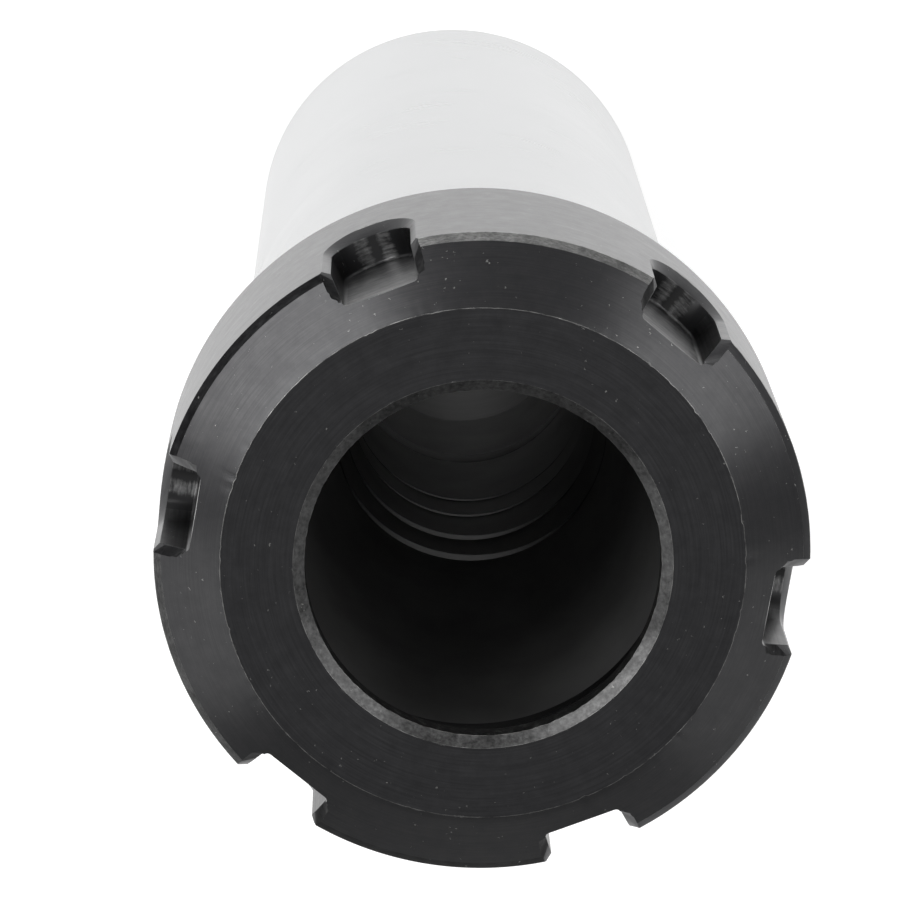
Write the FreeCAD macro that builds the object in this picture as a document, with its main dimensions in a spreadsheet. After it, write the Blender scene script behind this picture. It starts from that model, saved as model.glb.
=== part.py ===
# Collet chuck holder with a straight shank, for a size-32 spring collet to DIN 6499 / ISO 15488.
# Two steel pieces: the turned and ground holder body, and the clamping nut screwed on its front.
# The chuck stands on the rear face of its shank, with its axis along +Z and the nut on top.

import FreeCAD
import Part
import Sketcher
import os

doc = FreeCAD.newDocument("collet_chuck_holder")

# Sizes in millimetres and degrees. Depths in the nut are measured from its front face.
SIZES = [
    ("shankDiameter", 40.0, "ground straight shank, held in the machine"),
    ("shankLength", 118.0, "rear face to the thread run-out groove"),
    ("shankChamfer", 0.8, "break on the rear end of the shank"),
    ("shankShoulderBreak", 0.4, "break where the shank meets the run-out groove"),
    ("threadDiameter", 39.0, "mean diameter of the M40 x 1.5 nut thread"),
    ("threadLength", 15.0, "run-out groove to the front face"),
    ("threadLeadChamfer", 1.0, "lead-in of the thread at the front face"),
    ("groovePlunge", 0.8, "run-out groove below the thread, in radius"),
    ("grooveWidth", 2.5, "width of the run-out groove"),
    ("taperMouthDiameter", 33.0, "collet taper at the front face"),
    ("taperAngle", 8.0, "half angle of the collet taper"),
    ("taperLength", 33.0, "depth of the collet taper"),
    ("entryDiameter", 22.0, "counterbore behind the taper"),
    ("entryLength", 5.8, "length of that counterbore"),
    ("coreDiameter", 20.6, "bore for the stop screw"),
    ("coreLength", 27.1, "length of the stop screw bore"),
    ("coreGrooveDiameter", 22.0, "tool run-out groove behind the stop screw bore"),
    ("coreGrooveWidth", 2.6, "width of that groove"),
    ("neckLength", 14.5, "plain bore between the groove and the rear bore"),
    ("rearBoreDiameter", 23.0, "clearance bore through the rear of the shank"),
    ("rearBoreChamfer", 1.0, "chamfer of the rear bore at the rear face"),
    ("boreEdgeBreak", 0.5, "break on the edges inside the bore"),
    ("nutDiameter", 50.0, "outside of the nut"),
    ("nutLength", 22.5, "front face to rear face of the nut"),
    ("nutFaceDiameter", 39.7, "flat front face ring"),
    ("coneSlope", 31.0, "slope of the nut's front cone from its face"),
    ("rimBreak", 0.6, "break between cone and outside, in radius"),
    ("rimBreakDepth", 0.4, "the same break along the axis"),
    ("rearBreak", 0.5, "break on the rear outer edge of the nut"),
    ("mouthDiameter", 26.94, "opening in the nut's front"),
    ("mouthChamfer", 0.88, "chamfer of the opening, in radius"),
    ("mouthChamferDepth", 0.55, "the same chamfer along the axis"),
    ("mouthLandDepth", 2.2, "depth where the opening meets the nose seat"),
    ("noseSeatAngle", 30.0, "half angle of the seat on the collet's nose"),
    ("flangeRoomDiameter", 32.4, "room for the collet's flange behind the seat"),
    ("ringFrontDepth", 8.5, "front side of the extraction ring"),
    ("ringThickness", 1.5, "thickness of the extraction ring"),
    ("ringBore", 31.0, "bore of the extraction ring"),
    ("ringOffset", 0.6, "distance of that bore from the nut's axis"),
    ("nutReliefWidth", 2.0, "tool relief between ring and thread"),
    ("nutReliefPlunge", 0.75, "tool relief below the nut's thread, in radius"),
    ("nutThreadChamfer", 0.9, "lead-in of the nut's thread at its rear"),
    ("threadClearance", 0.05, "radial clearance between the two threads"),
    ("faceClearance", 0.5, "gap between the extraction ring and the body's front face"),
    ("slotCount", 6.0, "spanner slots around the nut"),
    ("slotWidth", 6.3, "width of a slot at its floor"),
    ("slotDepth", 2.8, "depth of a slot below the nut's outside"),
    ("slotLength", 13.0, "front face to the far end of the slot floor"),
    ("slotDraft", 5.0, "draft of the slot walls"),
    ("slotEdgeBreak", 0.45, "countersunk edge around the slot, in depth"),
    ("slotEdgeAngle", 45.0, "angle of that edge"),
]

# Lengths that follow from the sizes above.
DERIVED = [
    ("bodyLength", "=shankLength + grooveWidth + threadLength"),
    ("ringBackDepth", "=ringFrontDepth + ringThickness"),
    ("nutFrontHeight", "=bodyLength + faceClearance + ringBackDepth"),
    ("coneRadius", "=nutDiameter / 2 - rimBreak"),
    ("coneDepth", "=(coneRadius - nutFaceDiameter / 2) * tan(coneSlope * 1deg)"),
    ("taperEndRadius", "=taperMouthDiameter / 2 - taperLength * tan(taperAngle * 1deg)"),
    ("nutThreadRadius", "=threadDiameter / 2 + threadClearance"),
    ("nutReliefRadius", "=nutThreadRadius + nutReliefPlunge"),
    ("noseSeatLength", "=(flangeRoomDiameter - mouthDiameter) / 2 / tan(noseSeatAngle * 1deg)"),
    ("slotFloor", "=nutDiameter / 2 - slotDepth"),
    ("edgeFloor", "=nutDiameter / 2 - slotEdgeBreak"),
    ("edgeGrowth", "=(edgeFloor - slotFloor) * tan(slotDraft * 1deg)"),
]

sheet = doc.addObject("Spreadsheet::Sheet", "sizes")
row = 1
for name, value, note in SIZES:
    sheet.set("A%d" % row, note)
    sheet.set("B%d" % row, str(value))
    sheet.setAlias("B%d" % row, name)
    row = row + 1
for name, formula in DERIVED:
    sheet.set("A%d" % row, name)
    sheet.set("B%d" % row, formula)
    sheet.setAlias("B%d" % row, name)
    row = row + 1
doc.recompute()


def origin_feature(body, role):
    """Plane or axis of a body's own origin, by its role."""
    for feature in body.Origin.OriginFeatures:
        if feature.Role == role:
            return feature
    raise RuntimeError("no " + role)


def section(body, label, points):
    """Closed half section in the body's XZ plane, each corner tied to the sizes by its radius and height."""
    sketch = body.newObject("Sketcher::SketchObject", label)
    sketch.AttachmentSupport = [(origin_feature(body, "XZ_Plane"), "")]
    sketch.MapMode = "FlatFace"
    count = len(points)
    start = [FreeCAD.Vector(20.0 + i, 3.0 * i * (i - count), 0) for i in range(count)]
    for i in range(count):
        sketch.addGeometry(Part.LineSegment(start[i], start[(i + 1) % count]), False)
    for i in range(count):
        sketch.addConstraint(Sketcher.Constraint("Coincident", i, 2, (i + 1) % count, 1))
    for i, (radius, height) in enumerate(points):
        if radius == "0":
            sketch.addConstraint(Sketcher.Constraint("PointOnObject", i, 1, -2))
        else:
            across = sketch.addConstraint(Sketcher.Constraint("DistanceX", -1, 1, i, 1, start[i].x))
            sketch.setExpression("Constraints[%d]" % across, radius)
        if height == "0":
            sketch.addConstraint(Sketcher.Constraint("PointOnObject", i, 1, -1))
        else:
            up = sketch.addConstraint(Sketcher.Constraint("DistanceY", -1, 1, i, 1, start[i].y or 1.0))
            sketch.setExpression("Constraints[%d]" % up, height)
    return sketch


def turned(body, kind, label, sketch):
    """Full turn of a half section about the body's Z axis."""
    feature = body.newObject(kind, label)
    feature.Profile = sketch
    feature.ReferenceAxis = (sketch, ["V_Axis"])
    feature.Angle = 360.0
    sketch.Visibility = False
    return feature


def slot_outline(body, label, width, length, height):
    """Slot seen from outside: straight walls open past the nut's front, and a round far end."""
    sketch = body.newObject("Sketcher::SketchObject", label)
    sketch.AttachmentSupport = [(origin_feature(body, "YZ_Plane"), "")]
    sketch.MapMode = "FlatFace"
    sketch.setExpression("AttachmentOffset.Base.z", height)
    vec = FreeCAD.Vector
    sketch.addGeometry(Part.LineSegment(vec(-3, 2, 0), vec(-3, -9, 0)), False)
    arc = Part.Circle(vec(0, -9, 0), vec(0, 0, 1), 3)
    sketch.addGeometry(Part.ArcOfCircle(arc, 3.141592653589793, 6.283185307179586), False)
    sketch.addGeometry(Part.LineSegment(vec(3, -9, 0), vec(3, 2, 0)), False)
    sketch.addGeometry(Part.LineSegment(vec(3, 2, 0), vec(-3, 2, 0)), False)
    sketch.addConstraint(Sketcher.Constraint("Tangent", 0, 2, 1, 1))
    sketch.addConstraint(Sketcher.Constraint("Tangent", 1, 2, 2, 1))
    sketch.addConstraint(Sketcher.Constraint("Coincident", 2, 2, 3, 1))
    sketch.addConstraint(Sketcher.Constraint("Coincident", 3, 2, 0, 1))
    sketch.addConstraint(Sketcher.Constraint("Vertical", 0))
    sketch.addConstraint(Sketcher.Constraint("Vertical", 2))
    sketch.addConstraint(Sketcher.Constraint("Horizontal", 3))
    sketch.addConstraint(Sketcher.Constraint("PointOnObject", 1, 3, -2))
    half = sketch.addConstraint(Sketcher.Constraint("Radius", 1, 3.0))
    sketch.setExpression("Constraints[%d]" % half, "(" + width + ") / 2")
    end = sketch.addConstraint(Sketcher.Constraint("DistanceY", -1, 1, 1, 3, -9.0))
    sketch.setExpression("Constraints[%d]" % end, "-(" + length + ") + (" + width + ") / 2")
    above = sketch.addConstraint(Sketcher.Constraint("DistanceY", -1, 1, 3, 1, 2.0))
    sketch.setExpression("Constraints[%d]" % above, width)
    return sketch


# Holder body: bar steel, turned, bored and threaded between centres, then ground on shank and taper.
holder = doc.addObject("PartDesign::Body", "holder_body")
holder.Label = "holder_body"

holder_outside = section(holder, "holder_outside", [
    ("0", "0"),
    ("sizes.shankDiameter / 2 - sizes.shankChamfer", "0"),
    ("sizes.shankDiameter / 2", "sizes.shankChamfer"),
    ("sizes.shankDiameter / 2", "sizes.shankLength - sizes.shankShoulderBreak"),
    ("sizes.shankDiameter / 2 - sizes.shankShoulderBreak", "sizes.shankLength"),
    ("sizes.threadDiameter / 2 - sizes.groovePlunge", "sizes.shankLength"),
    ("sizes.threadDiameter / 2 - sizes.groovePlunge", "sizes.shankLength + sizes.grooveWidth - sizes.groovePlunge"),
    ("sizes.threadDiameter / 2", "sizes.shankLength + sizes.grooveWidth"),
    ("sizes.threadDiameter / 2", "sizes.bodyLength - sizes.threadLeadChamfer"),
    ("sizes.threadDiameter / 2 - sizes.threadLeadChamfer", "sizes.bodyLength"),
    ("0", "sizes.bodyLength"),
])
turned(holder, "PartDesign::Revolution", "turned_bar", holder_outside)

# Through bore, front to rear: collet taper, counterbore, stop screw bore, tool groove, neck, rear bore.
TAPER_END = "sizes.bodyLength - sizes.taperLength"
CORE_TOP = TAPER_END + " - sizes.entryLength"
GROOVE_TOP = CORE_TOP + " - sizes.coreLength"
NECK_TOP = GROOVE_TOP + " - sizes.coreGrooveWidth"
REAR_TOP = NECK_TOP + " - sizes.neckLength"
STEP = "(sizes.entryDiameter - sizes.coreDiameter) / 2"
REAR_STEP = "(sizes.rearBoreDiameter - sizes.coreDiameter) / 2"

holder_inside = section(holder, "holder_inside", [
    ("0", "sizes.bodyLength"),
    ("sizes.taperMouthDiameter / 2", "sizes.bodyLength"),
    ("sizes.taperEndRadius", TAPER_END),
    ("sizes.entryDiameter / 2 + sizes.boreEdgeBreak / 2", TAPER_END),
    ("sizes.entryDiameter / 2", TAPER_END + " - sizes.boreEdgeBreak"),
    ("sizes.entryDiameter / 2", CORE_TOP),
    ("sizes.coreDiameter / 2", CORE_TOP + " - " + STEP),
    ("sizes.coreDiameter / 2", GROOVE_TOP),
    ("sizes.coreGrooveDiameter / 2", GROOVE_TOP + " - sizes.boreEdgeBreak"),
    ("sizes.coreGrooveDiameter / 2", NECK_TOP + " + sizes.boreEdgeBreak"),
    ("sizes.coreDiameter / 2", NECK_TOP),
    ("sizes.coreDiameter / 2", REAR_TOP),
    ("sizes.rearBoreDiameter / 2", REAR_TOP + " - " + REAR_STEP),
    ("sizes.rearBoreDiameter / 2", "sizes.rearBoreChamfer"),
    ("sizes.rearBoreDiameter / 2 + sizes.rearBoreChamfer", "0"),
    ("0", "0"),
])
turned(holder, "PartDesign::Groove", "through_bore", holder_inside)

# Clamping nut: turned from the front, bored and threaded, six spanner slots end-milled from outside.
nut = doc.addObject("PartDesign::Body", "clamping_nut")
nut.Label = "clamping_nut"
nut.setExpression("Placement.Base.z", "sizes.nutFrontHeight")

RING_INNER = "sizes.ringBore / 2 - sizes.ringOffset"
nut_section = section(nut, "nut_section", [
    ("sizes.mouthDiameter / 2 + sizes.mouthChamfer", "0"),
    ("sizes.nutFaceDiameter / 2", "0"),
    ("sizes.coneRadius", "-sizes.coneDepth"),
    ("sizes.nutDiameter / 2", "-sizes.coneDepth - sizes.rimBreakDepth"),
    ("sizes.nutDiameter / 2", "-sizes.nutLength + sizes.rearBreak"),
    ("sizes.nutDiameter / 2 - sizes.rearBreak", "-sizes.nutLength"),
    ("sizes.nutThreadRadius + sizes.nutThreadChamfer", "-sizes.nutLength"),
    ("sizes.nutThreadRadius", "-sizes.nutLength + sizes.nutThreadChamfer"),
    ("sizes.nutThreadRadius", "-sizes.ringBackDepth - sizes.nutReliefWidth"),
    ("sizes.nutReliefRadius", "-sizes.ringBackDepth - sizes.nutReliefWidth + sizes.nutReliefPlunge"),
    ("sizes.nutReliefRadius", "-sizes.ringBackDepth"),
    (RING_INNER, "-sizes.ringBackDepth"),
    (RING_INNER, "-sizes.ringFrontDepth"),
    ("sizes.flangeRoomDiameter / 2", "-sizes.ringFrontDepth"),
    ("sizes.flangeRoomDiameter / 2", "-sizes.mouthLandDepth - sizes.noseSeatLength"),
    ("sizes.mouthDiameter / 2", "-sizes.mouthLandDepth"),
    ("sizes.mouthDiameter / 2", "-sizes.mouthChamferDepth"),
])
turned(nut, "PartDesign::Revolution", "turned_nut", nut_section)

# Extraction ring: its bore is turned off centre, so one side hooks behind the collet's flange.
ring_circle = nut.newObject("Sketcher::SketchObject", "ring_circle")
ring_circle.AttachmentSupport = [(origin_feature(nut, "XY_Plane"), "")]
ring_circle.MapMode = "FlatFace"
ring_circle.setExpression("AttachmentOffset.Base.z", "-sizes.ringBackDepth")
ring_circle.addGeometry(Part.Circle(FreeCAD.Vector(-1, 0, 0), FreeCAD.Vector(0, 0, 1), 15), False)
ring_circle.addConstraint(Sketcher.Constraint("PointOnObject", 0, 3, -1))
ring_radius = ring_circle.addConstraint(Sketcher.Constraint("Radius", 0, 15.0))
ring_circle.setExpression("Constraints[%d]" % ring_radius, "sizes.ringBore / 2")
ring_shift = ring_circle.addConstraint(Sketcher.Constraint("DistanceX", -1, 1, 0, 3, -1.0))
ring_circle.setExpression("Constraints[%d]" % ring_shift, "-sizes.ringOffset")
ring_bore = nut.newObject("PartDesign::Pocket", "eccentric_ring_bore")
ring_bore.Profile = ring_circle
ring_bore.Reversed = True
ring_bore.setExpression("Length", "sizes.ringThickness")
ring_circle.Visibility = False

# One spanner slot, open to the front, and the countersunk edge left around it.
slot_sketch = slot_outline(nut, "slot_outline", "sizes.slotWidth", "sizes.slotLength", "sizes.slotFloor")
slot = nut.newObject("PartDesign::Pocket", "spanner_slot")
slot.Profile = slot_sketch
slot.Reversed = True
slot.setExpression("Length", "sizes.slotDepth * 2")
slot.setExpression("TaperAngle", "sizes.slotDraft")
slot_sketch.Visibility = False

EDGE_WIDTH = "sizes.slotWidth + 2 * sizes.edgeGrowth"
EDGE_LENGTH = "sizes.slotLength + sizes.edgeGrowth"
edge_sketch = slot_outline(nut, "edge_outline", EDGE_WIDTH, EDGE_LENGTH, "sizes.edgeFloor")
slot_edge = nut.newObject("PartDesign::Pocket", "slot_edge_break")
slot_edge.Profile = edge_sketch
slot_edge.Reversed = True
slot_edge.setExpression("Length", "sizes.slotEdgeBreak * 2")
slot_edge.setExpression("TaperAngle", "sizes.slotEdgeAngle")
edge_sketch.Visibility = False

slots = nut.newObject("PartDesign::PolarPattern", "slot_pattern")
slots.Originals = [slot, slot_edge]
slots.Axis = (origin_feature(nut, "Z_Axis"), [""])
slots.Angle = 360.0
slots.setExpression("Occurrences", "sizes.slotCount")
nut.Tip = slots

doc.recompute()

os.makedirs("parts", exist_ok=True)
for piece in (holder, nut):
    for feature in piece.Group:
        if "Invalid" in feature.State or "Error" in feature.State:
            raise RuntimeError(feature.Label + " failed")
    shape = piece.Shape
    if not shape.isValid() or len(shape.Solids) != 1:
        raise RuntimeError(piece.Label + " is not one valid solid")
    shape.exportStep("parts/" + piece.Label + ".step")
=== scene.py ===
# Collet chuck holder: a ground straight-shank body with a blackened clamping nut, standing on its rear face.

import math

import bmesh
import bpy
from mathutils import Matrix, Vector, noise


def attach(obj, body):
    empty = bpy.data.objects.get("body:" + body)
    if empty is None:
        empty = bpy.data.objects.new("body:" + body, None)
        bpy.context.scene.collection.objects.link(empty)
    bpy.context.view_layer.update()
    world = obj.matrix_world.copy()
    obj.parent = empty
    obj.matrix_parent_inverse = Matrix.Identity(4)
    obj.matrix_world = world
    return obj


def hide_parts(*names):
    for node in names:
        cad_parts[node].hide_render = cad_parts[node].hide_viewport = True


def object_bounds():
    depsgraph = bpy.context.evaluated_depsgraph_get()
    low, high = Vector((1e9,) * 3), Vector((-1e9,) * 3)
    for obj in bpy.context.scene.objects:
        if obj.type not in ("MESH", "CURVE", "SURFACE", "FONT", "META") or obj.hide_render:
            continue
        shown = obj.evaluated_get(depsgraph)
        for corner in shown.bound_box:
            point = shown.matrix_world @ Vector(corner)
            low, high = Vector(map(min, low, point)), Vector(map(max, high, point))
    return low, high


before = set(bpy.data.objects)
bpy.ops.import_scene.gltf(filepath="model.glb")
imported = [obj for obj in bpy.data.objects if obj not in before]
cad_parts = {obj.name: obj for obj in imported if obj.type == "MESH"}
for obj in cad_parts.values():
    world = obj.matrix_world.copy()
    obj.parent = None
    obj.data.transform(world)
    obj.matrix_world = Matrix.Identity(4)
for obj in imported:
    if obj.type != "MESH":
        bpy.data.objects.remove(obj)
cad_low, cad_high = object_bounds()
mm = 0.001


# ---------------------------------------------------------------------------
# Camera
# A long lens looks down on the nut's front face from 13 degrees off the chuck's axis, so the shank recedes
# behind the nut.

camera = bpy.data.objects.new("camera", bpy.data.cameras.new("camera"))
bpy.context.scene.collection.objects.link(camera)
camera.data.sensor_width = 36.0
camera.data.lens = 183.3
camera.location = Vector((-22.63 * mm, 85.59 * mm, cad_high.z + 333.95 * mm))
camera.rotation_euler = [math.radians(a) for a in (-13.34, -0.897, 9.8)]
camera.data.clip_start = 0.01
camera.data.clip_end = 20.0
bpy.context.scene.camera = camera


# ---------------------------------------------------------------------------
# Studio
# Pale matt card on a bench, with a softbox to each side, a low strip behind, weak fills in front and a plain
# white ceiling. The room between the low pale backdrop and the lamps is dim, and edges facing it stay dark.

def linear(code, alpha=1.0):
    """An sRGB hex code as linear red, green, blue and alpha."""
    parts = [int(code[i:i + 2], 16) / 255 for i in (1, 3, 5)]
    return [c / 12.92 if c <= 0.04045 else ((c + 0.055) / 1.055) ** 2.4 for c in parts] + [alpha]


def add(tree, kind, sockets=None, **settings):
    """Adds a node with its settings, and fills or links its input sockets. Gives back its first output."""
    made = tree.nodes.new(kind)
    for name, value in settings.items():
        setattr(made, name, value)
    for name, value in (sockets or {}).items():
        socket = made.inputs[name]
        if isinstance(value, bpy.types.NodeSocket):
            tree.links.new(value, socket)
        else:
            socket.default_value = value
    return made.outputs[0] if made.outputs else made


def finish_material(name, build):
    """A new material whose surface is what build makes in its node tree."""
    material = bpy.data.materials.new(name)
    material.use_nodes = True
    tree = material.node_tree
    tree.nodes.clear()
    add(tree, "ShaderNodeOutputMaterial", {"Surface": build(tree)})
    return material


def pale_card(tree):
    # Matt card lit through from below: pale and quite rough, with a very faint mottle.
    spot = add(tree, "ShaderNodeTexNoise", {"Scale": 9.0, "Detail": 3.0})
    tone = add(tree, "ShaderNodeValToRGB", {"Fac": spot})
    ramp = tone.node.color_ramp
    ramp.elements[0].color = linear("#C2C2C2")
    ramp.elements[1].color = linear("#C9C9C9")
    return add(tree, "ShaderNodeBsdfPrincipled", {
        "Base Color": tone, "Roughness": 0.8, "Emission Color": linear("#FFFFFF"), "Emission Strength": 0.68})


floor_mesh = bpy.data.meshes.new("floor")
shape = bmesh.new()
bmesh.ops.create_circle(shape, cap_ends=True, segments=96, radius=6.0)
shape.to_mesh(floor_mesh)
shape.free()
floor_mesh.materials.append(finish_material("pale_card", pale_card))
floor = bpy.data.objects.new("floor", floor_mesh)
floor.location.z = cad_low.z
bpy.context.scene.collection.objects.link(floor)

world = bpy.data.worlds.new("studio_room")
world.use_nodes = True
bpy.context.scene.world = world
room = world.node_tree
room.nodes.clear()
up = add(room, "ShaderNodeSeparateXYZ", {"Vector": add(room, "ShaderNodeTexCoord").node.outputs["Generated"]})
height = add(room, "ShaderNodeValToRGB", {"Fac": up.node.outputs["Z"]})
steps = height.node.color_ramp.elements
room_tones = ((0.17, "#3D3D3D"), (0.30, "#464646"), (0.45, "#6B6B6B"), (0.66, "#656565"), (0.93, "#C5C5C5"))
for stop, code in room_tones:
    steps.new(stop).color = linear(code)
steps[0].position = 0.09
steps[0].color = linear("#F6F6F6")
steps[-1].color = linear("#D7D7D7")
glow = add(room, "ShaderNodeBackground", {"Color": height, "Strength": 0.9})
add(room, "ShaderNodeOutputWorld", {"Surface": glow})


lamp_distance = 1.3


def softbox(name, towards, width, height, power):
    """A rectangular softbox that faces the nut from that direction."""
    light = bpy.data.lights.new(name, "AREA")
    light.shape = "RECTANGLE"
    light.size = width
    light.size_y = height
    light.energy = power
    lamp = bpy.data.objects.new(name, light)
    aim = Vector((0, 0, cad_high.z * 0.9))
    lamp.location = aim + Vector(towards).normalized() * lamp_distance
    lamp.rotation_euler = (aim - lamp.location).to_track_quat("-Z", "Y").to_euler()
    bpy.context.scene.collection.objects.link(lamp)


softbox("left_softbox", (-0.68, 0.33, 0.65), 1.1, 0.5, 10.5)
softbox("right_softbox", (0.62, 0.50, 0.60), 0.8, 0.7, 6.0)
softbox("back_strip", (-0.15, 0.91, 0.39), 0.9, 0.14, 2.0)
softbox("left_fill", (-0.74, -0.55, 0.40), 0.8, 0.5, 2.2)
softbox("right_fill", (0.84, -0.38, 0.38), 0.9, 0.5, 1.5)
softbox("front_fill", (0.0, -0.92, 0.40), 1.0, 0.4, 0.2)
softbox("top_lamp", (0.0, 0.28, 0.96), 0.16, 0.16, 0.14)


def painted_bore_shade_glow(tree):
    # Painted shade: a nearly black disc with a fine mottle about 0.3 mm across darkens the floor under the
    # bore, and its faint emission is a painted glow up the bore.
    nap = add(tree, "ShaderNodeTexNoise", {"Scale": 3000.0, "Detail": 3.0})
    tone = add(tree, "ShaderNodeValToRGB", {"Fac": nap})
    tone.node.color_ramp.elements[0].color = linear("#202021")
    tone.node.color_ramp.elements[1].color = linear("#363637")
    return add(tree, "ShaderNodeBsdfPrincipled", {
        "Base Color": tone, "Roughness": 0.95,
        "Emission Color": linear("#FFFFFF"), "Emission Strength": 0.06})


# A dark ring on the card, smaller than the bore, is painted shade under it; the card shines up the bore by
# the ring's 5 mm hole alone.
shade_hole_r, shade_ring_r = 2.5, 11.2
shade_ring_mesh = bpy.data.meshes.new("painted_shade_ring")
shape = bmesh.new()
rims = [bmesh.ops.create_circle(shape, segments=48, radius=r * mm)["verts"] for r in (shade_hole_r, shade_ring_r)]
for s in range(48):
    t = (s + 1) % 48
    shape.faces.new((rims[0][s], rims[1][s], rims[1][t], rims[0][t]))
shape.to_mesh(shade_ring_mesh)
shape.free()
shade_ring_mesh.materials.append(finish_material("painted_bore_shade_glow", painted_bore_shade_glow))
shade_ring = bpy.data.objects.new("painted_shade_ring", shade_ring_mesh)
shade_ring.location.z = cad_low.z + 0.1 * mm
bpy.context.scene.collection.objects.link(shade_ring)


# ---------------------------------------------------------------------------
# Holder body
# One bar of case-hardened alloy steel: shank and collet taper cylindrically ground, thread cut on the front,
# bore drilled in steps and left dull from hardening.

def section_points(corners):
    """Turns corners (radius, height, edge radius, finish) into points, each edge broken by a small arc."""
    points = []
    count = len(corners)
    for i, (r, z, edge, kind) in enumerate(corners):
        here = Vector((r, z))
        before = Vector(corners[i - 1][:2]) - here
        after = Vector(corners[(i + 1) % count][:2]) - here
        turn = math.pi - before.angle(after)
        if edge <= 0 or turn < 0.02:
            points.append((r, z, kind, kind))
            continue
        reach = min(edge * math.tan(turn / 2), before.length * 0.45, after.length * 0.45)
        edge = reach / math.tan(turn / 2)
        before.normalize()
        after.normalize()
        centre = here + (before + after).normalized() * (edge / math.cos(turn / 2))
        first = here + before * reach - centre
        last = here + after * reach - centre
        for k in range(5):
            arm = first.lerp(last, 0.5) if k == 2 else first.slerp(last, k / 4)
            arm = arm.normalized() * edge
            at = centre + arm
            points.append((at.x, at.y, kind if k == 4 else "edge", kind))
    return points


def turned_mesh(name, points, finishes, steps, reach_at):
    """Turns a closed section about the Z axis, where reach_at gives each point's radius at each angle. Each
    stretch carries the finish named with its first point."""
    mesh = bpy.data.meshes.new(name)
    shape = bmesh.new()
    rings = []
    for r, z, kind, beyond in points:
        ring = []
        for s in range(steps):
            angle = 2 * math.pi * s / steps
            reach = reach_at(r, z, angle)
            ring.append(shape.verts.new((reach * mm * math.cos(angle), reach * mm * math.sin(angle), z * mm)))
        rings.append(ring)
    order = list(finishes)
    for i, ring in enumerate(rings):
        upper = rings[(i + 1) % len(rings)]
        kind = points[i][2] if points[i][2] in order else points[i][3]
        for s in range(steps):
            t = (s + 1) % steps
            face = shape.faces.new((ring[s], ring[t], upper[t], upper[s]))
            face.smooth = True
            face.material_index = order.index(kind)
    bmesh.ops.recalc_face_normals(shape, faces=shape.faces)
    shape.to_mesh(mesh)
    shape.free()
    for finish in finishes.values():
        mesh.materials.append(finish)
    return mesh


def place(name, mesh, body, node):
    """Puts a mesh in the scene as the piece that stands for a CAD node, riding on its body."""
    mesh.set_sharp_from_angle(angle=math.radians(25))
    piece = bpy.data.objects.new(name, mesh)
    bpy.context.scene.collection.objects.link(piece)
    evener = piece.modifiers.new("even_normals", "WEIGHTED_NORMAL")
    evener.keep_sharp = True
    evener.weight = 70
    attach(piece, body)
    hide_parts(node)
    return piece


def ground_steel(tree):
    # Cylindrically ground hardened steel under a film of oil: bright and silvery, with fine rings round the
    # shank that stretch the highlights along it. The lines are really 0.02 mm apart, and are drawn ten times
    # as coarse so that they show.
    place_on = add(tree, "ShaderNodeTexCoord").node.outputs["Object"]
    rings = add(tree, "ShaderNodeVectorMath", {0: place_on, 1: (60.0, 60.0, 5000.0)}, operation="MULTIPLY")
    lines = add(tree, "ShaderNodeTexNoise", {"Vector": rings, "Scale": 1.0, "Detail": 2.0})
    cloud = add(tree, "ShaderNodeTexNoise", {"Vector": place_on, "Scale": 70.0, "Detail": 4.0})
    # Spark-out leaves faint bands about a millimetre wide between the lines.
    bands = add(tree, "ShaderNodeVectorMath", {0: place_on, 1: (9.0, 9.0, 1000.0)}, operation="MULTIPLY")
    bands = add(tree, "ShaderNodeTexNoise", {"Vector": bands, "Scale": 1.0, "Detail": 4.0, "Roughness": 0.7})
    film = add(tree, "ShaderNodeMix", {"Factor": 0.5, "A": cloud, "B": bands}, data_type="FLOAT")
    tone = add(tree, "ShaderNodeValToRGB", {"Fac": film})
    tone.node.color_ramp.elements[0].position = 0.3
    tone.node.color_ramp.elements[0].color = linear("#9D9E9F")
    tone.node.color_ramp.elements[1].position = 0.7
    tone.node.color_ramp.elements[1].color = linear("#A6A7A8")
    rough = add(tree, "ShaderNodeMapRange", {
        "Value": film, "From Min": 0.3, "From Max": 0.7, "To Min": 0.21, "To Max": 0.29})
    bump = add(tree, "ShaderNodeBump", {"Height": lines, "Strength": 0.10, "Distance": 0.00002})
    return add(tree, "ShaderNodeBsdfPrincipled", {
        "Base Color": tone, "Metallic": 1.0, "Roughness": rough, "Normal": bump, "Anisotropic": 0.3,
        "Coat Weight": 0.3, "Coat Roughness": 0.15})


def hardened_bore_steel(tree):
    # Hardened steel wet with oil: dull grey with faint tool rings, almost black where little light comes in.
    place_on = add(tree, "ShaderNodeTexCoord").node.outputs["Object"]
    rings = add(tree, "ShaderNodeVectorMath", {0: place_on, 1: (90.0, 90.0, 1800.0)}, operation="MULTIPLY")
    lines = add(tree, "ShaderNodeTexNoise", {"Vector": rings, "Scale": 1.0, "Detail": 3.0})
    cloud = add(tree, "ShaderNodeTexNoise", {"Vector": place_on, "Scale": 160.0, "Detail": 5.0})
    tone = add(tree, "ShaderNodeValToRGB", {"Fac": cloud})
    tone.node.color_ramp.elements[0].color = linear("#808080")
    tone.node.color_ramp.elements[1].color = linear("#B0B0B0")
    bump = add(tree, "ShaderNodeBump", {"Height": lines, "Strength": 0.15, "Distance": 0.00005})
    return add(tree, "ShaderNodeBsdfPrincipled", {
        "Base Color": tone, "Metallic": 1.0, "Roughness": 0.51, "Normal": bump})


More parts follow.
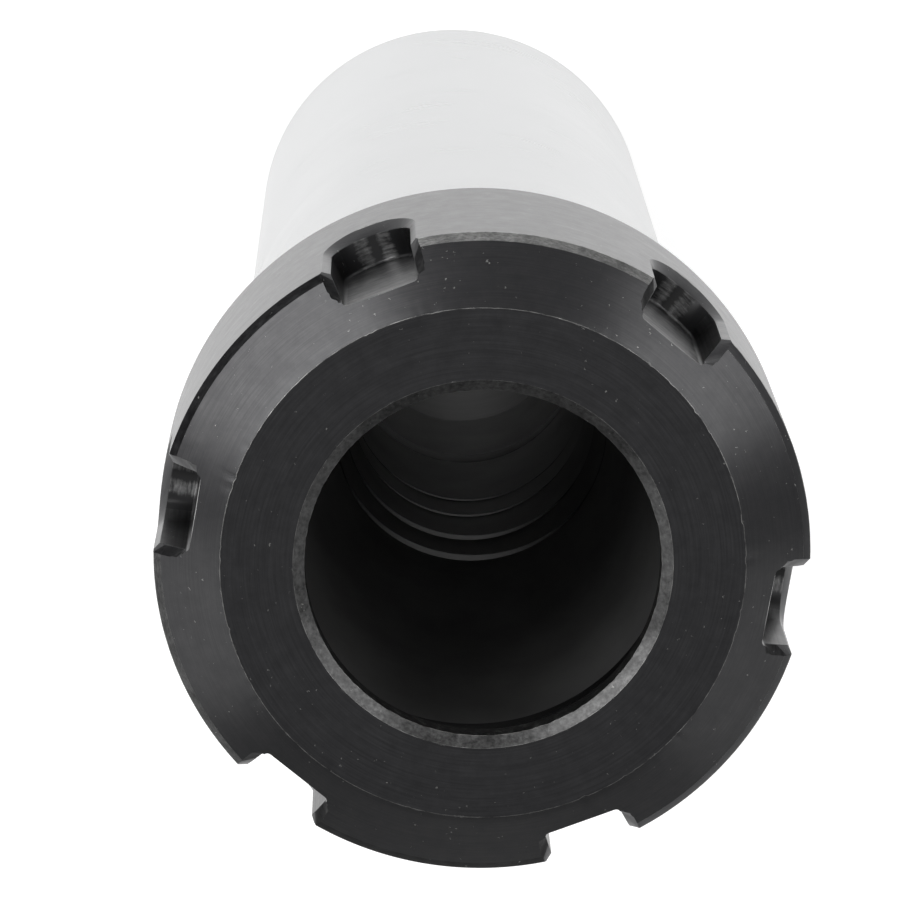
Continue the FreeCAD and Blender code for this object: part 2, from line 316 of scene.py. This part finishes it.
def bored_steel(tree):
    # Bored and tapped steel behind the taper: bare, dull grey, with uneven tool rings a few tenths apart.
    place_on = add(tree, "ShaderNodeTexCoord").node.outputs["Object"]
    rings = add(tree, "ShaderNodeVectorMath", {0: place_on, 1: (110.0, 110.0, 500.0)}, operation="MULTIPLY")
    lines = add(tree, "ShaderNodeTexNoise", {"Vector": rings, "Scale": 1.0, "Detail": 3.0})
    tone = add(tree, "ShaderNodeValToRGB", {"Fac": lines})
    tone.node.color_ramp.elements[0].color = linear("#4A4A4A")
    tone.node.color_ramp.elements[1].color = linear("#6A6A6A")
    bump = add(tree, "ShaderNodeBump", {"Height": lines, "Strength": 0.3, "Distance": 0.0001})
    return add(tree, "ShaderNodeBsdfPrincipled", {
        "Base Color": tone, "Metallic": 1.0, "Roughness": 0.40, "Normal": bump})


shank_r, shank_top, thread_top = 20.0, 118.0, 135.5
groove_r, thread_r, thread_root_r, thread_pitch = 18.7, 19.5, 19.08, 1.5
groove_width, thread_run_in, thread_row, thread_chamfer = 2.5, 0.8, 0.125, 1.0
nut_rear = 123.5


def holder_reach(r, z, angle):
    """Radius of the body at that height and angle. The right-hand M40 x 1.5 thread is full behind the nut and
    cut down to the clearance cylinder under it. The drills' steps are full on the -Y side alone."""
    if r in drilled:
        return drilled[r] + (r - drilled[r]) * max(-math.sin(angle), 0.0) ** 3
    if abs(r - thread_r) > 1e-6:
        return r
    turn = (z / thread_pitch - angle / (2 * math.pi)) % 1.0
    # Of each turn an eighth is flat root, an eighth flat crest, and the rest two straight flanks.
    rise = min(max((0.5 - abs(turn - 0.5) - 0.0625) / 0.375, 0.0), 1.0)
    reach = thread_root_r + (shank_r - thread_root_r) * rise
    start = min(max((z - shank_top - groove_width) / thread_run_in, 0.0), 1.0)
    reach = groove_r + (reach - groove_r) * start
    return reach if z < nut_rear + 0.2 else min(reach, thread_r)


taper_mouth_r, taper_end_r, bore_r, stop_groove_r, rear_bore_r = 16.5, 11.56, 10.3, 11.0, 11.5
# The drills ran a little off centre: each step's radius on the -Y side, and its radius on the other sides.
drilled = {11.1: 11.5, 10.98: 10.8, 10.61: 10.77, 10.6: 10.32, 10.44: 10.31, 10.1: 10.29}
thread_count = round((thread_top - thread_chamfer - shank_top - groove_width) / thread_row) + 1
thread_rows = [
    (thread_r, shank_top + groove_width + i * thread_row, 0.0, "dark") for i in range(thread_count)]
holder_corners = [
    (19.2, 0.0, 0.15, "ground"),
    (shank_r, 0.8, 0.15, "ground"),
    (shank_r, shank_top - 0.4, 0.1, "ground"),
    (shank_r - 0.4, shank_top, 0.1, "dark"),
    (groove_r, shank_top, 0.2, "dark"),
    (groove_r, shank_top + 1.7, 0.2, "dark"),
] + thread_rows + [
    (thread_r - thread_chamfer, thread_top, 0.1, "dark"),
    (taper_mouth_r, thread_top, 0.15, "bore"),
    (taper_end_r, 100.35, 0.0, "bored"),
    (11.1, 100.22, 0.0, "bore"),
    (10.98, 95.55, 0.0, "bored"),
    (10.61, 95.45, 0.0, "bore"),
    (10.6, 88.86, 0.0, "bored"),
    (10.44, 88.82, 0.0, "bore"),
    (10.44, 83.77, 0.0, "bored"),
    (bore_r, 83.73, 0.0, "bore"),
    (bore_r, 69.7, 0.1, "bore"),
    (stop_groove_r, 69.2, 0.1, "bored"),
    (stop_groove_r, 67.6, 0.05, "bored"),
    (10.1, 67.5, 0.0, "bore"),
    (bore_r, 60.0, 0.0, "bore"),
    (bore_r, 52.5, 0.1, "bored"),
    (rear_bore_r, 51.3, 0.1, "bored"),
    (rear_bore_r, 1.0, 0.1, "ground"),
    (rear_bore_r + 1.0, 0.0, 0.15, "ground"),
]
ground = finish_material("ground_hardened_steel", ground_steel)
bore_dark = finish_material("oiled_dark_bore_steel", hardened_bore_steel)
bored = finish_material("bored_steel", bored_steel)
holder_mesh = turned_mesh(
    "holder_body_steel", section_points(holder_corners),
    {"ground": ground, "dark": bore_dark, "bore": bore_dark, "bored": bored}, 256, holder_reach)
place("holder_body_steel", holder_mesh, "holder", "holder_body")


# ---------------------------------------------------------------------------
# Clamping nut
# Turned from alloy steel bar, threaded M40 x 1.5 inside, six spanner slots end-milled from outside, then hot
# blackened. The collet's extraction ring is turned off centre in the same piece.

front = cad_high.z / mm
ring_bore, ring_shift = 15.5, 0.6


def nut_reach(r, z, angle):
    """Radius of the nut's surface at that angle. The extraction ring's bore is a circle shifted sideways, and
    the two edges that tools knock most, round the face and at the chamfer's foot, are a little ragged."""
    if abs(r - ring_bore) < 1e-6:
        return -ring_shift * math.cos(angle) + math.sqrt(ring_bore ** 2 - (ring_shift * math.sin(angle)) ** 2)
    if r < mouth_r + 0.13 and abs(front - chamfer_drop - z) < 0.09:
        ragged = noise.noise(Vector((math.cos(angle) * 22, math.sin(angle) * 22, 3.0)))
        return r + 0.07 * max(ragged + 0.1, 0.0)
    if abs(r - face_r) < 0.06 and z > front - 0.1:
        ragged = noise.noise(Vector((math.cos(angle) * 40, math.sin(angle) * 40, 9.0)))
        return r - 0.25 * max(ragged - 0.28, 0.0)
    return r


def oxide(tree, dark, light, roughness, pitch, depth, run=6.0, worn=(), plunged=False, oil=0.5, painted_bands=False):
    """Black oxide on cut steel: colours of its thick and thin places, roughness, pitch, depth and run of the
    tool marks in mm, radii of edges where it is chipped off, and share of oil. A plunged cut's marks follow
    the radius alone, and with painted_bands two painted highlight bands run down a slot's round end."""
    place_on = add(tree, "ShaderNodeTexCoord").node.outputs["Object"]
    flat = add(tree, "ShaderNodeVectorMath", {0: place_on, 1: (1.0, 1.0, 0.0)}, operation="MULTIPLY")
    radius = add(tree, "ShaderNodeVectorMath", {0: flat}, operation="LENGTH").node.outputs["Value"]
    up = add(tree, "ShaderNodeSeparateXYZ", {"Vector": place_on}).node.outputs["Z"]
    along = radius if plunged else add(tree, "ShaderNodeMath", {0: radius, 1: up}, operation="SUBTRACT")
    marks = add(tree, "ShaderNodeTexNoise", {
        "W": along, "Scale": 1000 / pitch, "Detail": 2.0}, noise_dimensions="1D")
    # Streaks follow the cut for their run before they fade.
    drawn = add(tree, "ShaderNodeVectorMath", {
        0: place_on, 1: (1000 / run, 1000 / run, 0.0)}, operation="MULTIPLY")
    level = add(tree, "ShaderNodeCombineXYZ", {
        "Z": add(tree, "ShaderNodeMath", {0: along, 1: 1000 / pitch}, operation="MULTIPLY")})
    drawn = add(tree, "ShaderNodeVectorMath", {0: drawn, 1: level}, operation="ADD")
    streaks = add(tree, "ShaderNodeTexNoise", {
        "Vector": drawn, "Scale": 1.0, "Detail": 3.0, "Roughness": 0.6})
    cloud = add(tree, "ShaderNodeTexNoise", {
        "Vector": place_on, "Scale": 650.0, "Detail": 8.0, "Roughness": 0.7})
    mix = add(tree, "ShaderNodeMath", {0: streaks, 1: cloud}, operation="MULTIPLY")
    if painted_bands:
        # Painted highlight: two pale bands, each a quarter of the slot wide, run down its round end either
        # side of the middle, with darker tone between and beyond them.
        split = add(tree, "ShaderNodeSeparateXYZ", {"Vector": place_on}).node.outputs
        angle = add(tree, "ShaderNodeMath", {0: split["Y"], 1: split["X"]}, operation="ARCTAN2")
        angle = add(tree, "ShaderNodeMath", {0: angle, 1: math.pi / 6, 2: -math.pi / 6}, operation="WRAP")
        beside = add(tree, "ShaderNodeMath", {0: angle, 1: radius}, operation="MULTIPLY")
        beside = add(tree, "ShaderNodeMath", {0: beside}, operation="ABSOLUTE")
        share = add(tree, "ShaderNodeMath", {0: beside, 1: 1000 / slot_half_width}, operation="MULTIPLY")
        highlight_bands = add(tree, "ShaderNodeValToRGB", {"Fac": share})
        stops = highlight_bands.node.color_ramp.elements
        for at, tint in ((0.06, "#A0A0A0"), (0.2, "#FFFFFF"), (0.42, "#F0F0F0"), (0.6, "#808080")):
            stops.new(at).color = linear(tint)
        stops[0].color = linear("#A8A8A8")
        stops[-1].color = linear("#707070")
        mix = add(tree, "ShaderNodeMath", {0: mix, 1: highlight_bands}, operation="MULTIPLY")
    tone = add(tree, "ShaderNodeValToRGB", {"Fac": mix})
    tone.node.color_ramp.elements[0].position = 0.14
    tone.node.color_ramp.elements[0].color = linear(dark)
    tone.node.color_ramp.elements[1].position = 0.42
    tone.node.color_ramp.elements[1].color = linear(light)
    # Dust and pinholes: irregular bright points about 0.1 mm across, a millimetre or two apart.
    shake = add(tree, "ShaderNodeTexNoise", {"Vector": place_on, "Scale": 7000.0, "Detail": 1.0})
    shaken = add(tree, "ShaderNodeVectorMath", {
        0: shake.node.outputs["Color"], 1: (0.4 * mm, 0.4 * mm, 0.4 * mm)}, operation="MULTIPLY")
    shaken = add(tree, "ShaderNodeVectorMath", {0: shaken, 1: place_on}, operation="ADD")
    speck = add(tree, "ShaderNodeTexVoronoi", {"Vector": shaken, "Scale": 1500.0})
    patch = add(tree, "ShaderNodeTexNoise", {
        "Vector": place_on, "Scale": 300.0, "Detail": 4.0, "Roughness": 0.8})
    spread = add(tree, "ShaderNodeMapRange", {
        "Value": patch, "From Min": 0.42, "From Max": 0.75, "To Min": 0.0, "To Max": 0.18})
    bare = add(tree, "ShaderNodeMath", {0: speck, 1: spread}, operation="LESS_THAN")
    for edge in worn:
        away = add(tree, "ShaderNodeMath", {0: radius, 1: edge * mm}, operation="SUBTRACT")
        away = add(tree, "ShaderNodeMath", {0: away}, operation="ABSOLUTE")
        near = add(tree, "ShaderNodeMapRange", {
            "Value": away, "From Max": 0.3 * mm, "To Min": 0.26, "To Max": 0.0})
        chips = add(tree, "ShaderNodeTexNoise", {
            "Vector": shaken, "Scale": 1500.0, "Detail": 5.0, "Roughness": 0.75})
        chips = add(tree, "ShaderNodeMath", {0: chips, 1: near}, operation="ADD")
        chips = add(tree, "ShaderNodeMapRange", {"Value": chips, "From Min": 0.80, "From Max": 0.95})
        bare = add(tree, "ShaderNodeMath", {0: bare, 1: chips}, operation="MAXIMUM")
    colour = add(tree, "ShaderNodeMix", {"Factor": bare, "A": tone, "B": linear("#7E7E7C")}, data_type="RGBA")
    rough = add(tree, "ShaderNodeMapRange", {
        "Value": mix, "To Min": roughness + 0.12, "To Max": roughness - 0.14})
    bump = add(tree, "ShaderNodeBump", {"Height": marks, "Strength": 0.10, "Distance": depth * mm})
    bump = add(tree, "ShaderNodeBump", {
        "Height": bare, "Strength": 0.5, "Distance": 0.03 * mm, "Normal": bump})
    return add(tree, "ShaderNodeBsdfPrincipled", {
        "Base Color": colour.node.outputs[2], "Metallic": 1.0, "Roughness": rough, "Normal": bump,
        "Coat Weight": oil, "Coat Roughness": 0.25})


def faced_oxide(tree):
    # The flat front face: the darkest, with close concentric facing marks 0.15 mm apart.
    return oxide(tree, "#29292B", "#3A3A3C", 0.42, 0.15, 0.03, worn=(face_r, mouth_r + chamfer_reach))


def turned_oxide(tree):
    # Cone and outside: the same oxide over a finer cut, which mirrors a little more.
    return oxide(tree, "#2C2C2E", "#383839", 0.36, 0.11, 0.012, worn=(face_r,))


def band_highlight_oxide(tree):
    # Slots' round ends: short pale strokes 0.2 mm apart in the oxide, under two painted highlight bands
    # either side of the middle.
    return oxide(tree, "#262627", "#7C7C7C", 0.44, 0.2, 0.06, run=1.2, plunged=True, painted_bands=True)


def milled_oxide(tree):
    # Slot floors: swept by the end of the mill, satin with faint marks.
    return oxide(tree, "#262627", "#565657", 0.42, 0.5, 0.02, run=2.5)


def walled_oxide(tree):
    # Slot walls: cut by the side of the mill in one pass, smoother and darker than the floors.
    return oxide(tree, "#222223", "#424243", 0.34, 0.25, 0.02, run=3.0, plunged=True, oil=0.3)


def shaded_break_oxide(tree):
    # Painted shade for break strips and rim sectors that turn from the light: matt, nearly black oxide on a
    # torn cut.
    return oxide(tree, "#161617", "#2C2C2D", 0.55, 0.4, 0.08, run=0.8, oil=0.1)


def rubbed_chamfer(tree):
    # Opening's chamfer, rubbed by collets and tools until the oxide is thin: a lighter, torn satin band.
    return oxide(tree, "#2E2E2E", "#5E5E5E", 0.46, 0.13, 0.05, run=0.35, worn=(mouth_r,))


def rim_highlight_oxide(tree):
    # Painted highlight on the rim's break where it catches the light: a pale satin line, chipped at its outer
    # edge.
    return oxide(tree, "#4C4C4C", "#828281", 0.44, 0.13, 0.03, run=0.35, worn=(nut_r,))


def worn_edge_highlight(tree):
    # Edges where the oxide is worn through in places to bright steel; the bright tone is also a painted
    # highlight line along the edges.
    return oxide(tree, "#2C2C2D", "#A4A4A2", 0.34, 0.2, 0.02, run=0.8)


nut_r, rim_r, face_r, mouth_r = 25.0, 24.42, 19.85, 13.47
nut_length, cone_drop, rim_drop, rear_break = 22.5, 2.746, 3.2, 0.5
nut_thread_r, lead_in, relief_r, flange_room_r = 19.55, 0.9, 20.3, 16.2
ring_front, ring_back, seat_start, seat_end = 8.5, 10.0, 2.2, 6.93
relief_width, relief_slope = 1.25, 0.75
chamfer_reach, chamfer_drop = 0.88, 0.55
slot_half_width = 3.0
nut_finishes = {
    "face": finish_material("black_oxide_faced_steel", faced_oxide),
    "turned": finish_material("black_oxide_turned_steel", turned_oxide),
    "band_highlight": finish_material("black_oxide_band_highlight_steel", band_highlight_oxide),
    "milled": finish_material("black_oxide_milled_steel", milled_oxide),
    "walled": finish_material("black_oxide_side_milled_steel", walled_oxide),
    "shaded": finish_material("painted_shade_oxide_steel", shaded_break_oxide),
    "rubbed": finish_material("rubbed_oxide_steel", rubbed_chamfer),
    "rim_highlight": finish_material("rim_highlight_oxide_steel", rim_highlight_oxide),
    "edge": finish_material("worn_edge_highlight_steel", worn_edge_highlight),
}
nut_corners = [
    (mouth_r + chamfer_reach, 0.0, 0.06, "face"),
    (face_r, 0.0, 0.10, "turned"),
] + [(face_r + (rim_r - face_r) * k / 6, -cone_drop * k / 6, 0.0, "turned") for k in range(1, 6)] + [
    (rim_r, -cone_drop, 0.06, "rubbed"),
    (nut_r, -rim_drop, 0.12, "turned"),
    (nut_r, rear_break - nut_length, 0.12, "turned"),
    (nut_r - rear_break, -nut_length, 0.10, "turned"),
    (nut_thread_r + lead_in, -nut_length, 0.10, "turned"),
    (nut_thread_r, lead_in - nut_length, 0.0, "turned"),
    (nut_thread_r, -ring_back - relief_width - relief_slope, 0.0, "turned"),
    (relief_r, -ring_back - relief_width, 0.0, "turned"),
    (relief_r, -ring_back, 0.0, "turned"),
    (ring_bore, -ring_back, 0.0, "turned"),
    (ring_bore, -ring_front, 0.0, "turned"),
    (flange_room_r, -ring_front, 0.0, "turned"),
    (flange_room_r, -seat_end, 0.0, "turned"),
    (mouth_r, -seat_start, 0.06, "rubbed"),
    (mouth_r, -chamfer_drop, 0.06, "rubbed"),
]
nut_points = section_points([(r, front + z, edge, kind) for r, z, edge, kind in nut_corners])
nut_mesh = turned_mesh("clamping_nut_steel", nut_points, nut_finishes, 480, nut_reach)
# Painted light and shade: the rim's break differs from one slot to the next, paler where it catches the light
# and darker where it turns from it: dark, pale, nearly black or rubbed.
rim_light_kinds = ("turned", "rim_highlight", "shaded", "rubbed", "shaded", "turned")
kinds = list(nut_finishes)
for face in nut_mesh.polygons:
    x, y, z = face.center / mm
    if math.hypot(x, y) > rim_r - 0.05 and rim_drop + 0.15 > front - z > cone_drop - 0.05:
        kind = rim_light_kinds[int(math.atan2(y, x) % (2 * math.pi) // (math.pi / 3))]
        if kind == "shaded" or face.material_index == kinds.index("rubbed"):
            face.material_index = kinds.index(kind)


def slot_cutter():
    """Six tapered end-mill passes as one mesh: flat floor, drafted walls, round far end with two painted
    highlight bands, and a break that follows the mouth over cylinder and cone. Some break strips carry
    painted shade."""
    floor_at, length, break_depth, break_width = 22.05, 13.0, 0.7, 0.92
    draft, cone_slope = math.radians(5), math.radians(31)
    # The fillet round the floor: height over the floor and how far the wall stands out, for each level.
    fillet = [(0.0, -0.30), (0.03, -0.17), (0.10, -0.07), (0.20, -0.01), (0.30, 0.0)]
    # The break: depth under the nut's outside, how far it stands out, and the finish above each level.
    breaks = [
        (break_depth, 0.0, "milled"), (break_depth - 0.05, 0.04, "turned"),
        # The bright edge finish on the break's outer boundary is wear and a painted highlight line.
        (0.05, break_width - 0.06, "edge"), (-0.02, break_width + 0.06, "turned"),
        (-0.3, break_width + 0.6, "turned")]
    levels = ["milled"] * len(fillet) + [kind for _, _, kind in breaks]
    # Heights over the front face at which the straight walls are cut, close together where the break turns.
    rows = [3.0, -1.0, -1.36, -1.48, -1.7, -2.0, -2.3, -2.6, -2.9, -3.2, -3.6, -4.2, -6.0]
    lip, lip_fall = -1.45, 0.3
    mesh = bpy.data.meshes.new("slot_cutter")
    shape = bmesh.new()
    order = list(nut_finishes)

    def ring_at(reach, grow, spin):
        """One closed loop of the cutter, where reach gives its distance from the axis at each height."""
        def point(z, share, drop=0.0):
            x = reach(z)
            w = slot_half_width + grow + (x - floor_at) * math.tan(draft)
            return shape.verts.new(spin @ Vector((x * mm, w * share * mm, (front + z - w * drop) * mm)))
        base = slot_half_width - length
        loop = [point(z, 1.0) for z in rows]
        loop += [point(base, math.cos(math.pi * k / 64), math.sin(math.pi * k / 64)) for k in range(65)]
        return loop + [point(z, -1.0) for z in reversed(rows)]

    for turn in range(6):
        spin = Matrix.Rotation(math.radians(60 * turn), 4, "Z")
        rings = []
        for rise, grow in fillet:
            fall = 0.0 if rise else lip_fall
            rings.append(ring_at(lambda z: floor_at + rise - max(z - lip, 0.0) * fall, grow, spin))
        for step, (depth, grow, _) in enumerate(breaks):
            least = floor_at + 0.32 + 0.02 * step
            under_cone = face_r - depth / math.sin(cone_slope)
            rings.append(ring_at(
                lambda z: max(least, min(nut_r - depth, under_cone - z / math.tan(cone_slope))), grow, spin))
        rings.append(ring_at(lambda z: nut_r + 6.0, 3.0, spin))
        for level, (low, high) in enumerate(zip(rings, rings[1:])):
            for i in range(len(low)):
                j = (i + 1) % len(low)
                face = shape.faces.new((low[i], low[j], high[j], high[i]))
                off = i - len(low) / 2 + 0.5
                # Painted shade: on each slot one or both side strips of the break take the nearly black
                # finish.
                shaded_side = off if turn in (0, 5) else -off if turn in (1, 3) else abs(off)
                kind = levels[level]
                if kind == "milled":
                    # The middle of each round end takes the painted highlight bands.
                    kind = "band_highlight" if abs(off) < 20 else "walled"
                elif kind == "turned" and shaded_side > 36:
                    kind = "shaded"
                face.material_index = order.index(kind)
                face.smooth = True
        first, count = rings[0], len(rows)
        for low, high in zip(range(count - 1), range(1, count)):
            face = shape.faces.new((first[high], first[low], first[-1 - low], first[-1 - high]))
            # Wear and painted highlight: the floor's front lip takes the bright edge finish on four slots.
            worn_lip_highlight = rows[low] > lip and turn not in (1, 2)
            face.material_index = order.index("edge" if worn_lip_highlight else "milled")
        shape.faces.new(list(reversed(first[count - 1:-count + 1]))).material_index = order.index("milled")
        shape.faces.new(rings[-1]).material_index = order.index("milled")
    bmesh.ops.recalc_face_normals(shape, faces=shape.faces)
    shape.to_mesh(mesh)
    shape.free()
    for finish in nut_finishes.values():
        mesh.materials.append(finish)
    return mesh


blank = bpy.data.objects.new("nut_blank", nut_mesh)
cutter = bpy.data.objects.new("slot_cutter", slot_cutter())
bpy.context.scene.collection.objects.link(blank)
bpy.context.scene.collection.objects.link(cutter)
cut = blank.modifiers.new("slots", "BOOLEAN")
cut.operation = "DIFFERENCE"
cut.solver = "EXACT"
cut.object = cutter
milled_mesh = bpy.data.meshes.new_from_object(blank.evaluated_get(bpy.context.evaluated_depsgraph_get()))
milled_mesh.name = "clamping_nut_steel"
bpy.data.objects.remove(blank)
bpy.data.objects.remove(cutter)
place("clamping_nut_steel", milled_mesh, "nut", "clamping_nut")


# ---------------------------------------------------------------------------
# View transform

bpy.context.scene.view_settings.view_transform = "Standard"
